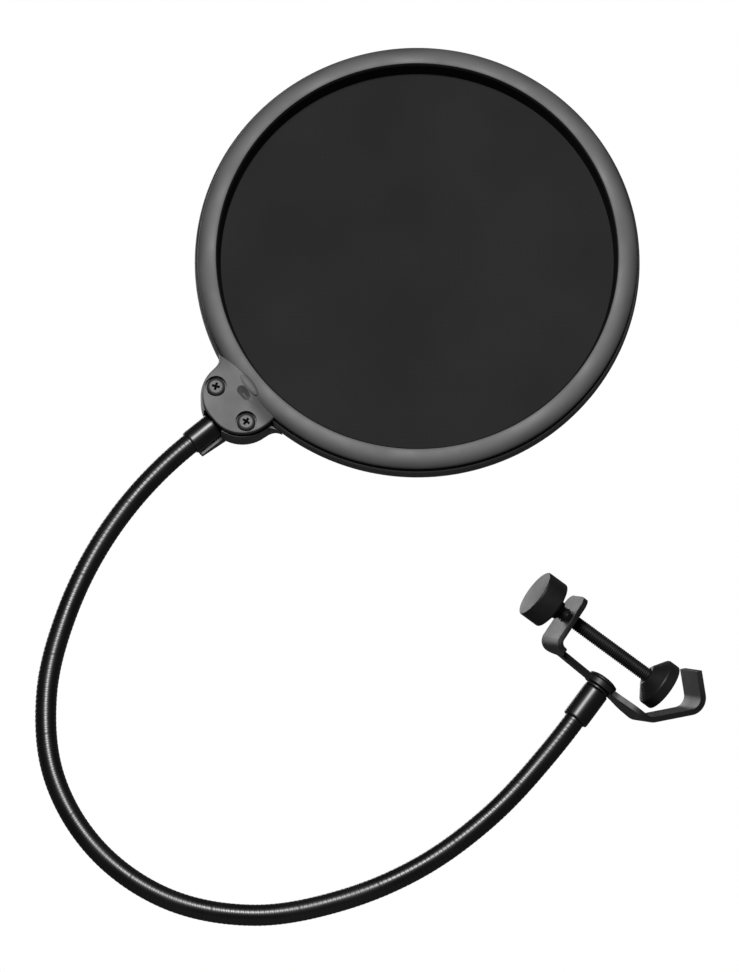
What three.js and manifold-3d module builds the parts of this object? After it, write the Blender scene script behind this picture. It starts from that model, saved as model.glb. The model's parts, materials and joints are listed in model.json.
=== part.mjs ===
// Pop filter for a microphone: two layers of mesh in a hoop, on a gooseneck with a screw clamp.
// Millimetres, +Z up. The hoop stands upright with its front facing -Y.
// The origin is on the flat inner face of the clamp's V jaw, where the stand's tube rests.
import * as THREE from "three";
import { mergeVertices } from "three/addons/utils/BufferGeometryUtils.js";
import Module from "manifold-3d";

const wasm = await Module();
wasm.setup();

const DEGREE = Math.PI / 180;
const GAP = 0.3; // free space between pieces that touch on the real object

// Hoop. Depths are along Y from the hoop's middle, and its front is the negative side.
const HOOP_OUTER = 77.5;
const HOOP_INNER = 69.9;
const HOOP_FRONT = -7.75;
const HOOP_BACK = 7.75;
const SEAM = -3.6; // between the front ring and the rear ring
const MESH_SEAT = 72.3; // radius of the rear ring's bore, which holds the mesh layers
const MESH_THICKNESS = 0.4;
const SPACER_DEPTH = 3;
const MESH_FRONT = 0; // front face of the front mesh layer
const RING_SEGMENTS = 72;

// Tab on the hoop's rim, which clamps the neck between the two rings.
const TAB_ANGLE = 219.7; // in degrees about the hoop's axis, from +X towards +Z
const TAB_ROOT = 73.6; // distances from the hoop's centre, along the tab
const EAR_CENTRE = 80;
const EAR_RADIUS = 13;
const EAR_SPREAD = 1.2; // from the tab's centre line to the centre of each rounded side
const TAB_FRONT = -7.9;
const TAB_BACK = 4.5;
const SCREW_DISTANCE = 84.1;
const SCREW_SPREAD = 8.25; // from the tab's centre line to each screw
const TROUGH_END = 101.5; // a tapered trough behind the ferrule carries it past the ear's edge
const TROUGH_FRONT = 2.8;
const TROUGH_BACK = 6.7;
const TROUGH_START_WIDTH = 13.6;
const TROUGH_END_WIDTH = 10.2;
const POCKET_WIDTH = 9.4;
const POCKET_START = 79.4;
const PILOT_END = 3;
const COUNTERBORE_RADIUS = 3.7;
const COUNTERBORE_FLOOR = -5.9;
const TAB_SCREW_RADIUS = 1.3;
const TAB_SCREW_HEAD = 3.2;
const TAB_CLEARANCE = 1.75; // radius of the front ear's holes
const TAB_PILOT = 1.6; // radius of the rear ear's holes
const NECK_DEPTH = 1; // the neck leaves the tab this far behind the hoop's middle

// Gooseneck. Its centre line leaves the tab and runs to the clamp as arcs and a straight end.
// Each arc has a radius, a sweep in degrees, and the roll of its bend about the line: 0 turns to
// the left as seen from the front, and 90 turns towards the front.
const NECK_START = 102.5; // from the hoop's centre
const NECK_ARCS = [
  { radius: 140.7, sweep: 43, roll: 0 },
  { radius: 70.9, sweep: 103, roll: 0 },
  { radius: 128, sweep: 40, roll: 0 },
  { radius: 265, sweep: 9, roll: 26 },
];
const NECK_RADIUS = 3.7;
const NECK_SIDES = 16;
const BENDS = 12; // hinges that stand for the bending of the wound tube
const FERRULE_LENGTH = 14;
const SPIGOT_RADIUS = 3.2;
const SPIGOT_LENGTH = 4.5;
const SOCKET_RADIUS = 3.5;
const UPPER_FERRULE_RADIUS = 4.4;
const LOWER_FERRULE_RADIUS = 4.75;
const ANCHOR_RADIUS = 4.3; // of the anchor's six-sided plug, to its corners
const ANCHOR_LENGTH = 8.8;

// Clamp. Its local X runs through the bracket's back into the throat, its local Y along the
// clamp screw towards the knob, and its local Z along the V jaw's groove.
const CLAMP_TWIST = 26; // of the clamp about the neck's end
const BACK_LEAN = 3; // the bracket's back leans out from the screw's axis by this angle
const STRIP = 2; // thickness of the bracket's steel
const STRIP_WIDTH = 18;
const SCREW_X = 13.5; // the screw's axis, from the bracket's back
const PLATE_Y = 23.6; // middle of the screw plate's thickness
const PLATE_END = 21.6;
const JAW_START_Y = -19.5; // where the back bends into the jaw
const JAW_CORNER_X = 14.5;
const JAW_LIP = 13.7; // from the jaw's corner to its free edge
const BACK_WIDTH = 5.4; // at its narrowest, between the screw plate and the eye
const EYE_RADIUS = 6;
const EYE_HOLE = 2.9;
const SCREW_RADIUS = 2.5;
const SCREW_HOLE = 2.8;
const SCREW_TIP = -15.6;
const KNOB_RADIUS = 8.75;
const KNOB_HUB = 3.2;
const KNOB_BASE = 27.1;
const KNOB_TOP = 38.2;
const PAD_RADIUS = 8.75;
const PAD_TOP = -12;
const PAD_FACE = -20.3;
const PAD_RECESS = 7.1; // radius of the recess that holds the liner
const NECK_SCREW_HEAD = 5.5;
const WASHER_RADIUS = 4.5;

const MATERIALS = {
  hoop: material(0x6a6a6a, 0.55, 0),
  mesh: material(0x1c1c1c, 0.9, 0),
  spacer: material(0x2a2a2a, 0.7, 0),
  screw: material(0x303030, 0.35, 0.9),
  neck: material(0x0c0c0c, 0.35, 0.6),
  bracket: material(0x141414, 0.45, 0.5),
  knob: material(0x151515, 0.5, 0),
  liner: material(0x202020, 0.9, 0),
};

function material(color, roughness, metalness) {
  return new THREE.MeshStandardMaterial({ color, roughness, metalness });
}

function piece(name, geometry, finish, parent) {
  const mesh = new THREE.Mesh(geometry, finish);
  mesh.name = name;
  parent.add(mesh);
  return mesh;
}

// Joining and cutting

function solid(geometry) {
  const bare = geometry.index ? geometry.toNonIndexed() : geometry.clone();
  bare.deleteAttribute("normal");
  bare.deleteAttribute("uv");
  const merged = mergeVertices(bare, 1e-4);
  const vertProperties = new Float32Array(merged.attributes.position.array);
  const triVerts = new Uint32Array(merged.index.array);
  return new wasm.Manifold(new wasm.Mesh({ numProp: 3, vertProperties, triVerts }));
}

function geometryOf(result) {
  const { vertProperties, triVerts } = result.getMesh();
  const geometry = new THREE.BufferGeometry();
  geometry.setAttribute("position", new THREE.BufferAttribute(vertProperties, 3));
  geometry.setIndex(new THREE.BufferAttribute(triVerts, 1));
  geometry.computeVertexNormals();
  return geometry;
}

// Shapes turned about an axis, from [radius, height] pairs

function turned(profile, segments = 32) {
  const points = profile.map(([radius, height]) => new THREE.Vector2(radius, height));
  return new THREE.LatheGeometry(points, segments);
}

function turnedAlongX(profile, segments) {
  return turned(profile, segments).rotateZ(-90 * DEGREE);
}

function closed(profile) {
  return [...profile, profile[0]];
}

function disc(radius, low, high, segments) {
  return turned([[0, low], [radius, low], [radius, high], [0, high]], segments);
}

function ringBetween(inner, outer, low, high, segments) {
  return turned(closed([[inner, low], [outer, low], [outer, high], [inner, high]]), segments);
}

// Tab shapes are drawn in a plane with X along the tab, away from the hoop's centre, and are
// given their depth along the hoop's axis.

const tabFrame = new THREE.Matrix4().makeBasis(
  new THREE.Vector3(Math.cos(TAB_ANGLE * DEGREE), 0, Math.sin(TAB_ANGLE * DEGREE)),
  new THREE.Vector3(Math.sin(TAB_ANGLE * DEGREE), 0, -Math.cos(TAB_ANGLE * DEGREE)),
  new THREE.Vector3(0, 1, 0),
);

function tabPrism(shape, front, back) {
  const prism = new THREE.ExtrudeGeometry(shape, {
    depth: back - front,
    bevelEnabled: false,
    curveSegments: 10,
  });
  return prism.translate(0, 0, front).applyMatrix4(tabFrame);
}

function tabHole(along, across, radius, front, back) {
  const circle = new THREE.Shape();
  circle.absarc(along, across, radius, 0, 360 * DEGREE);
  return tabPrism(circle, front, back);
}

// A round ear that is a little longer across the tab than along it.
function tabOutline() {
  const halfWidth = EAR_RADIUS + EAR_SPREAD;
  const outline = new THREE.Shape();
  outline.moveTo(TAB_ROOT, -halfWidth);
  outline.lineTo(EAR_CENTRE, -halfWidth);
  outline.absarc(EAR_CENTRE, -EAR_SPREAD, EAR_RADIUS, -90 * DEGREE, 0);
  outline.absarc(EAR_CENTRE, EAR_SPREAD, EAR_RADIUS, 0, 90 * DEGREE);
  outline.lineTo(TAB_ROOT, halfWidth);
  return outline;
}

function bar(start, end, startWidth, endWidth = startWidth) {
  const shape = new THREE.Shape();
  shape.moveTo(start, -startWidth / 2);
  shape.lineTo(end, -endWidth / 2);
  shape.lineTo(end, endWidth / 2);
  shape.lineTo(start, startWidth / 2);
  return shape;
}

// Hoop

function frontRing() {
  const back = SEAM - GAP / 2;
  const skirtOuter = MESH_SEAT - GAP;
  const ring = turned(
    closed([
      [HOOP_INNER + 0.5, HOOP_FRONT],
      [HOOP_OUTER - 4.4, -7.35],
      [HOOP_OUTER - 2, -6.5],
      [HOOP_OUTER - 0.5, -5.4],
      [HOOP_OUTER, back - 0.6],
      [HOOP_OUTER - 0.5, back],
      [skirtOuter, back],
      [skirtOuter, MESH_FRONT - GAP],
      [HOOP_INNER, MESH_FRONT - GAP],
      [HOOP_INNER, HOOP_FRONT + 0.4],
    ]),
    RING_SEGMENTS,
  );
  let result = solid(ring).add(solid(tabPrism(tabOutline(), TAB_FRONT, back)));
  const bore = disc(HOOP_INNER, HOOP_FRONT - 1, MESH_FRONT, RING_SEGMENTS);
  result = result.subtract(solid(bore));
  for (const side of [-1, 1]) {
    const across = side * SCREW_SPREAD;
    const counterbore = tabHole(
      SCREW_DISTANCE, across, COUNTERBORE_RADIUS, TAB_FRONT - 1, COUNTERBORE_FLOOR,
    );
    const clearance = tabHole(SCREW_DISTANCE, across, TAB_CLEARANCE, TAB_FRONT, SEAM + 1);
    result = result.subtract(solid(counterbore)).subtract(solid(clearance));
  }
  return geometryOf(result);
}

function rearRing() {
  const front = SEAM + GAP / 2;
  const step = MESH_FRONT + 2 * MESH_THICKNESS + SPACER_DEPTH + 3 * GAP;
  const ring = turned(
    closed([
      [HOOP_OUTER - 0.3, front],
      [HOOP_OUTER, 1.4],
      [HOOP_OUTER - 0.4, 4.2],
      [HOOP_OUTER - 1.8, 6.4],
      [HOOP_OUTER - 4.5, HOOP_BACK],
      [HOOP_INNER, HOOP_BACK],
      [HOOP_INNER, step],
      [MESH_SEAT, step],
      [MESH_SEAT, front],
    ]),
    RING_SEGMENTS,
  );
  const trough = bar(POCKET_START, TROUGH_END, TROUGH_START_WIDTH, TROUGH_END_WIDTH);
  const tab = solid(tabPrism(tabOutline(), front, TAB_BACK))
    .add(solid(tabPrism(trough, TROUGH_FRONT, TROUGH_BACK)))
    .subtract(solid(disc(MESH_SEAT + 1, front - 1, TROUGH_BACK + 1, RING_SEGMENTS)));
  const pocketFloor = NECK_DEPTH + POCKET_WIDTH / 2;
  const pocket = bar(POCKET_START, TROUGH_END + 1, POCKET_WIDTH);
  let result = solid(ring).add(tab).subtract(solid(tabPrism(pocket, front - 1, pocketFloor)));
  for (const side of [-1, 1]) {
    const pilot = tabHole(SCREW_DISTANCE, side * SCREW_SPREAD, TAB_PILOT, front - 1, PILOT_END);
    result = result.subtract(solid(pilot));
  }
  return geometryOf(result);
}

function tabScrew() {
  const headFloor = COUNTERBORE_FLOOR - GAP;
  return turned(
    [
      [0, TAB_FRONT + 0.1],
      [2, TAB_FRONT + 0.15],
      [3, TAB_FRONT + 0.6],
      [TAB_SCREW_HEAD, TAB_FRONT + 1],
      [TAB_SCREW_HEAD, headFloor],
      [TAB_SCREW_RADIUS, headFloor],
      [TAB_SCREW_RADIUS, PILOT_END - TAB_SCREW_RADIUS],
      [0, PILOT_END - GAP],
    ],
    20,
  );
}

function buildHead(parent) {
  piece("front_ring", frontRing(), MATERIALS.hoop, parent);
  piece("rear_ring", rearRing(), MATERIALS.hoop, parent);
  const meshRadius = MESH_SEAT - GAP;
  const spacerFront = MESH_FRONT + MESH_THICKNESS + GAP;
  const spacerBack = spacerFront + SPACER_DEPTH;
  const front = disc(meshRadius, MESH_FRONT, MESH_FRONT + MESH_THICKNESS, RING_SEGMENTS);
  piece("front_mesh", front, MATERIALS.mesh, parent);
  const spacer = ringBetween(HOOP_INNER + 0.3, meshRadius, spacerFront, spacerBack, RING_SEGMENTS);
  piece("mesh_spacer", spacer, MATERIALS.spacer, parent);
  const rearStart = spacerBack + GAP;
  const rear = disc(meshRadius, rearStart, rearStart + MESH_THICKNESS, RING_SEGMENTS);
  piece("rear_mesh", rear, MATERIALS.mesh, parent);
  for (const [name, side] of [["tab_screw_upper", 1], ["tab_screw_lower", -1]]) {
    const screw = piece(name, tabScrew(), MATERIALS.screw, parent);
    screw.position.set(SCREW_DISTANCE, side * SCREW_SPREAD, 0).applyMatrix4(tabFrame);
  }
}

// Gooseneck

const neckLength =
  NECK_ARCS.reduce((sum, arc) => sum + arc.radius * arc.sweep * DEGREE, 0) + FERRULE_LENGTH;

// The frame at a distance along the neck: X along it, Y to its left, Z towards the front.
function neckFrame(distance) {
  const start = TAB_ANGLE * DEGREE;
  const frame = new THREE.Matrix4().makeBasis(
    new THREE.Vector3(Math.cos(start), 0, Math.sin(start)),
    new THREE.Vector3(-Math.sin(start), 0, Math.cos(start)),
    new THREE.Vector3(0, -1, 0),
  );
  frame.setPosition(NECK_START * Math.cos(start), NECK_DEPTH, NECK_START * Math.sin(start));
  let left = distance;
  for (const { radius, sweep, roll } of NECK_ARCS) {
    const part = Math.min(Math.max(left, 0), radius * sweep * DEGREE);
    const turn = part / radius;
    const bend = new THREE.Matrix4().makeRotationZ(turn);
    bend.setPosition(radius * Math.sin(turn), radius * (1 - Math.cos(turn)), 0);
    frame.multiply(new THREE.Matrix4().makeRotationX(roll * DEGREE));
    frame.multiply(bend);
    frame.multiply(new THREE.Matrix4().makeRotationX(-roll * DEGREE));
    left -= part;
  }
  return frame.multiply(new THREE.Matrix4().makeTranslation(left, 0, 0));
}

// A closed round body along the neck. Each ring has the distance along the neck of its frame,
// its own offset along that frame's X, and its radius, and the first and last radius are 0.
function neckBody(rings) {
  const positions = [];
  const triangles = [];
  for (const { at, offset = 0, radius } of rings) {
    const frame = neckFrame(at);
    for (let side = 0; side < NECK_SIDES; side += 1) {
      const angle = (side / NECK_SIDES) * 360 * DEGREE;
      const point = new THREE.Vector3(offset, radius * Math.cos(angle), radius * Math.sin(angle));
      positions.push(...point.applyMatrix4(frame).toArray());
    }
  }
  for (let ring = 0; ring < rings.length - 1; ring += 1) {
    for (let side = 0; side < NECK_SIDES; side += 1) {
      const a = ring * NECK_SIDES + side;
      const b = ring * NECK_SIDES + ((side + 1) % NECK_SIDES);
      const c = a + NECK_SIDES;
      const d = b + NECK_SIDES;
      if (rings[ring].radius > 0) triangles.push(a, b, c);
      if (rings[ring + 1].radius > 0) triangles.push(b, d, c);
    }
  }
  const geometry = new THREE.BufferGeometry();
  geometry.setAttribute("position", new THREE.Float32BufferAttribute(positions, 3));
  geometry.setIndex(triangles);
  return mergeVertices(geometry, 1e-4);
}

// A hollow end that faces back along the neck, round the ball of the segment before it.
function cupRings(at) {
  const cup = NECK_RADIUS + GAP;
  const rim = Math.asin(NECK_RADIUS / cup);
  return [0, 0.35, 0.7, 1].map((share) => {
    const angle = rim * share;
    return { at, offset: cup * Math.cos(angle), radius: share ? cup * Math.sin(angle) : 0 };
  });
}

// A round end that faces on along the neck.
function ballRings(at) {
  return [0, 30, 60, 90].map((angle) => ({
    at,
    offset: NECK_RADIUS * Math.sin(angle * DEGREE),
    radius: angle < 90 ? NECK_RADIUS * Math.cos(angle * DEGREE) : 0,
  }));
}

const freeEnd = neckLength - FERRULE_LENGTH - GAP;
const bendSpacing = freeEnd / BENDS;

function bendAt(number) {
  return bendSpacing * (number - 0.5);
}

function straightRings(from, to) {
  const steps = Math.max(1, Math.round((to - from) / 8));
  return Array.from({ length: steps + 1 }, (_, i) => ({
    at: from + ((to - from) * i) / steps,
    radius: NECK_RADIUS,
  }));
}

// Segment 1 is fixed in the upper ferrule and the last one in the lower ferrule.
function neckSegment(number) {
  const first = number === 1;
  const last = number === BENDS + 1;
  const from = first ? GAP : bendAt(number - 1) + NECK_RADIUS;
  const to = last ? freeEnd : bendAt(number) - GAP;
  const start = first
    ? [
        { at: 0, offset: -SPIGOT_LENGTH, radius: 0 },
        { at: 0, offset: -SPIGOT_LENGTH, radius: SPIGOT_RADIUS },
        { at: 0, offset: GAP, radius: SPIGOT_RADIUS },
      ]
    : cupRings(bendAt(number - 1));
  const end = last
    ? [
        { at: freeEnd, radius: SPIGOT_RADIUS },
        { at: freeEnd, offset: SPIGOT_LENGTH, radius: SPIGOT_RADIUS },
        { at: freeEnd, offset: SPIGOT_LENGTH, radius: 0 },
      ]
    : ballRings(bendAt(number));
  return neckBody([...start, ...straightRings(from, to), ...end]);
}

function buildNeck(parent) {
  for (let number = 1; number <= BENDS + 1; number += 1) {
    const name = `neck_segment_${String(number).padStart(2, "0")}`;
    piece(name, neckSegment(number), MATERIALS.neck, parent);
  }
}

function buildUpperEnd(parent) {
  const upperEnd = new THREE.Group();
  upperEnd.applyMatrix4(neckFrame(0));
  parent.add(upperEnd);
  const inner = -13;
  const stemEnd = -6.5;
  const ferrule = turnedAlongX(
    closed([
      [SCREW_HOLE, inner],
      [UPPER_FERRULE_RADIUS - 0.4, inner],
      [UPPER_FERRULE_RADIUS, inner + 0.5],
      [UPPER_FERRULE_RADIUS, -0.5],
      [UPPER_FERRULE_RADIUS - 0.4, 0],
      [SOCKET_RADIUS, 0],
      [SOCKET_RADIUS, -SPIGOT_LENGTH - GAP],
      [SCREW_HOLE, -SPIGOT_LENGTH - GAP],
    ]),
    24,
  );
  piece("upper_ferrule", ferrule, MATERIALS.neck, upperEnd);
  const plug = new THREE.CylinderGeometry(ANCHOR_RADIUS, ANCHOR_RADIUS, ANCHOR_LENGTH, 6);
  plug.rotateZ(-90 * DEGREE).translate(inner - GAP - ANCHOR_LENGTH / 2, 0, 0);
  const stem = turnedAlongX([
    [0, inner - 2],
    [SCREW_RADIUS, inner - 2],
    [SCREW_RADIUS, stemEnd],
    [0, stemEnd],
  ]);
  const anchor = geometryOf(solid(plug).add(solid(stem)));
  piece("neck_anchor", anchor, MATERIALS.screw, upperEnd);
}

// Clamp

// The outline of a strip that follows a bent line, with its bends rounded.
function stripOutline(corners, thickness, bendRadii) {
  const left = [];
  const right = [];
  corners.forEach(([x, y], i) => {
    const here = new THREE.Vector2(x, y);
    const before = i > 0 ? here.clone().sub(new THREE.Vector2(...corners[i - 1])).normalize() : null;
    const after = i < corners.length - 1
      ? new THREE.Vector2(...corners[i + 1]).sub(here).normalize()
      : null;
    const ahead = before ?? after;
    const normal = new THREE.Vector2(-ahead.y, ahead.x);
    if (!before || !after) {
      left.push(here.clone().addScaledVector(normal, thickness / 2));
      right.push(here.clone().addScaledVector(normal, -thickness / 2));
      return;
    }
    const turn = before.cross(after) > 0 ? before.angleTo(after) : -before.angleTo(after);
    const radius = bendRadii[i];
    const start = here.clone().addScaledVector(before, -radius * Math.tan(Math.abs(turn) / 2));
    const centre = start.clone().addScaledVector(normal, Math.sign(turn) * radius);
    const steps = 6;
    for (let step = 0; step <= steps; step += 1) {
      const spoke = normal.clone().multiplyScalar(-Math.sign(turn));
      spoke.rotateAround(new THREE.Vector2(), (turn * step) / steps);
      const inside = centre.clone().addScaledVector(spoke, radius - thickness / 2);
      const outside = centre.clone().addScaledVector(spoke, radius + thickness / 2);
      left.push(turn > 0 ? inside : outside);
      right.push(turn > 0 ? outside : inside);
    }
  });
  return new THREE.Shape([...left, ...right.reverse()]);
}

const leanSlope = Math.tan(BACK_LEAN * DEGREE);
const jawStartX = STRIP / 2 + JAW_START_Y * leanSlope;
const jawCorner = [JAW_CORNER_X, JAW_START_Y - (JAW_CORNER_X - jawStartX)];
const lipReach = JAW_LIP * Math.SQRT1_2;

function bracket() {
  const line = [
    [PLATE_END, PLATE_Y],
    [STRIP / 2 + PLATE_Y * leanSlope, PLATE_Y],
    [jawStartX, JAW_START_Y],
    jawCorner,
    [jawCorner[0] + lipReach, jawCorner[1] + lipReach],
  ];
  const outline = stripOutline(line, STRIP, [0, 3, 4, 5, 0]);
  const strip = new THREE.ExtrudeGeometry(outline, { depth: STRIP_WIDTH, bevelEnabled: false });
  strip.translate(0, 0, -STRIP_WIDTH / 2);
  const eyeHole = new THREE.CylinderGeometry(EYE_HOLE, EYE_HOLE, 4 * STRIP, 24);
  eyeHole.rotateZ((-90 - BACK_LEAN) * DEGREE);
  const screwHole = disc(SCREW_HOLE, PLATE_Y - 3, PLATE_Y + 3, 24);
  screwHole.translate(SCREW_X, 0, 0);
  const result = solid(strip)
    .intersect(solid(backOutline()))
    .intersect(solid(roundedEnd()))
    .subtract(solid(eyeHole))
    .subtract(solid(screwHole));
  return geometryOf(result);
}

// The back's width: the plate, a narrow stem, the round eye for the neck screw, and the wide jaw.
function backOutline() {
  const half = STRIP_WIDTH / 2;
  const stem = BACK_WIDTH / 2;
  const top = PLATE_Y + STRIP;
  const bottom = jawCorner[1] - 3 * STRIP;
  const shape = new THREE.Shape();
  shape.moveTo(half, top);
  shape.lineTo(half, 20.8);
  shape.bezierCurveTo(half, 19.2, 5.5, 18.7, stem, 18.1);
  shape.lineTo(stem, 5.4);
  shape.absarc(0, 0, EYE_RADIUS, 63 * DEGREE, -43 * DEGREE, true);
  shape.bezierCurveTo(5.2, -9, half, -10.5, half, -16.5);
  shape.lineTo(half, bottom);
  shape.lineTo(-half, bottom);
  shape.lineTo(-half, -16.5);
  shape.bezierCurveTo(-half, -10.5, -5.2, -9, -4.39, -4.09);
  shape.absarc(0, 0, EYE_RADIUS, 223 * DEGREE, 117 * DEGREE, true);
  shape.lineTo(-stem, 18.1);
  shape.bezierCurveTo(-5.5, 18.7, -half, 19.2, -half, 20.8);
  shape.lineTo(-half, top);
  const prism = new THREE.ExtrudeGeometry(shape, { depth: 40, bevelEnabled: false });
  return prism.rotateY(90 * DEGREE).translate(-5, 0, 0);
}

// Rounds the corners of the screw plate and of the jaw's lip, as seen along the screw.
function roundedEnd() {
  const half = STRIP_WIDTH / 2;
  const corner = 4;
  const end = PLATE_END;
  const outside = -3 * STRIP; // clear of the bracket's back
  const shape = new THREE.Shape();
  shape.moveTo(outside, -half);
  shape.lineTo(end - corner, -half);
  shape.absarc(end - corner, -half + corner, corner, -90 * DEGREE, 0);
  shape.absarc(end - corner, half - corner, corner, 0, 90 * DEGREE);
  shape.lineTo(outside, half);
  const top = PLATE_Y + STRIP;
  const plate = new THREE.ExtrudeGeometry(shape, { depth: 3 * STRIP, bevelEnabled: false });
  plate.rotateX(90 * DEGREE).translate(0, top, 0);
  const reach = 60;
  const below = new THREE.BoxGeometry(2 * reach, reach, STRIP_WIDTH + 2);
  below.translate(0, top - 3 * STRIP + 0.1 - reach / 2, 0);
  return geometryOf(solid(plate).add(solid(below)));
}

function buildScrew(parent) {
  const screw = turned(
    [
      [0, SCREW_TIP],
      [SCREW_RADIUS - 0.4, SCREW_TIP],
      [SCREW_RADIUS, SCREW_TIP + 0.5],
      [SCREW_RADIUS, 35.2],
      [SCREW_RADIUS - 0.4, 35.6],
      [0, 35.6],
    ],
    24,
  );
  piece("clamp_screw", screw, MATERIALS.screw, parent).position.x = SCREW_X;
  const knob = turned(
    [
      [0, 36],
      [SCREW_HOLE, 36],
      [SCREW_HOLE, KNOB_BASE],
      [KNOB_HUB, KNOB_BASE],
      [KNOB_HUB + 0.3, KNOB_BASE + 1.4],
      [KNOB_RADIUS - 0.5, KNOB_BASE + 3.3],
      [KNOB_RADIUS, KNOB_BASE + 3.8],
      [KNOB_RADIUS, KNOB_TOP - 0.4],
      [KNOB_RADIUS - 0.4, KNOB_TOP],
      [0, KNOB_TOP],
    ],
    40,
  );
  piece("knob", knob, MATERIALS.knob, parent).position.x = SCREW_X;
}

function buildPad(parent) {
  const rim = PAD_FACE + 0.4;
  const recess = PAD_FACE + 2.3;
  const pad = turned(
    [
      [0, recess],
      [PAD_RECESS, recess],
      [PAD_RECESS, rim],
      [PAD_RADIUS - 0.4, rim],
      [PAD_RADIUS, rim + 0.4],
      [PAD_RADIUS, rim + 3.5],
      [PAD_RADIUS - 0.5, rim + 4],
      [3.6, PAD_TOP],
      [SCREW_HOLE, PAD_TOP],
      [SCREW_HOLE, SCREW_TIP - GAP],
      [0, SCREW_TIP - GAP],
    ],
    40,
  );
  piece("swivel_pad", pad, MATERIALS.knob, parent).position.x = SCREW_X;
  const linerRadius = PAD_RECESS - GAP;
  const liner = turned(
    [
      [0, PAD_FACE],
      [linerRadius - 0.3, PAD_FACE],
      [linerRadius, PAD_FACE + 0.3],
      [linerRadius, recess - GAP],
      [0, recess - GAP],
    ],
    40,
  );
  piece("pad_liner", liner, MATERIALS.liner, parent).position.x = SCREW_X;
}

// The lower ferrule, the washer and the neck screw, whose shared axis is the neck's end.
function buildLowerEnd(parent) {
  const washerEnd = -GAP;
  const washerStart = washerEnd - 0.8;
  const ferruleEnd = washerStart - GAP;
  const socketEnd = -8.6;
  const ferrule = turnedAlongX(
    closed([
      [SOCKET_RADIUS, -FERRULE_LENGTH],
      [LOWER_FERRULE_RADIUS - 0.4, -FERRULE_LENGTH],
      [LOWER_FERRULE_RADIUS, 0.5 - FERRULE_LENGTH],
      [LOWER_FERRULE_RADIUS, ferruleEnd - 0.4],
      [LOWER_FERRULE_RADIUS - 0.3, ferruleEnd],
      [SCREW_HOLE, ferruleEnd],
      [SCREW_HOLE, socketEnd],
      [SOCKET_RADIUS, socketEnd],
    ]),
    24,
  );
  piece("lower_ferrule", ferrule, MATERIALS.neck, parent);
  const washer = turnedAlongX(
    closed([
      [SCREW_HOLE, washerStart],
      [WASHER_RADIUS, washerStart],
      [WASHER_RADIUS, washerEnd],
      [SCREW_HOLE, washerEnd],
    ]),
    24,
  );
  piece("spring_washer", washer, MATERIALS.screw, parent);
  const headStart = STRIP + GAP;
  const screw = turnedAlongX(
    [
      [0, socketEnd + GAP],
      [SCREW_RADIUS, socketEnd + GAP],
      [SCREW_RADIUS, headStart],
      [NECK_SCREW_HEAD, headStart],
      [NECK_SCREW_HEAD, headStart + 0.8],
      [NECK_SCREW_HEAD - 1.5, headStart + 1.5],
      [0, headStart + 1.7],
    ],
    24,
  );
  piece("neck_screw", screw, MATERIALS.screw, parent);
}

function buildClamp(parent) {
  const neckEnd = new THREE.Group();
  neckEnd.applyMatrix4(neckFrame(neckLength));
  parent.add(neckEnd);
  buildLowerEnd(neckEnd);
  const clamp = new THREE.Group();
  clamp.rotation.set(CLAMP_TWIST * DEGREE, 0, BACK_LEAN * DEGREE);
  neckEnd.add(clamp);
  piece("clamp_bracket", bracket(), MATERIALS.bracket, clamp);
  buildScrew(clamp);
  buildPad(clamp);
  return clamp;
}

// The middle of the flat inner face of the jaw's lip, in the clamp's own frame.
function jawSeat() {
  const middle = (JAW_LIP + 5) / 2;
  const along = middle * Math.SQRT1_2;
  const inward = (STRIP / 2) * Math.SQRT1_2;
  return new THREE.Vector3(jawCorner[0] + along - inward, jawCorner[1] + along + inward, 0);
}

const popFilter = new THREE.Group();
const assembly = new THREE.Group();
popFilter.add(assembly);
buildHead(assembly);
buildUpperEnd(assembly);
buildNeck(assembly);
const clamp = buildClamp(assembly);
popFilter.updateMatrixWorld(true);
assembly.position.copy(clamp.localToWorld(jawSeat())).negate();

export default popFilter;
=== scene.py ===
"""Looks of a microphone pop filter: hoop with two mesh layers, gooseneck and screw clamp.

The row frame is in metres with +Z up, and the hoop faces -Y. Shapes are drawn in millimetres in
a local frame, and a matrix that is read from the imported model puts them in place.
"""

import json
import math

import bmesh
import bpy
import numpy as np
from mathutils import Matrix, Vector


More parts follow.
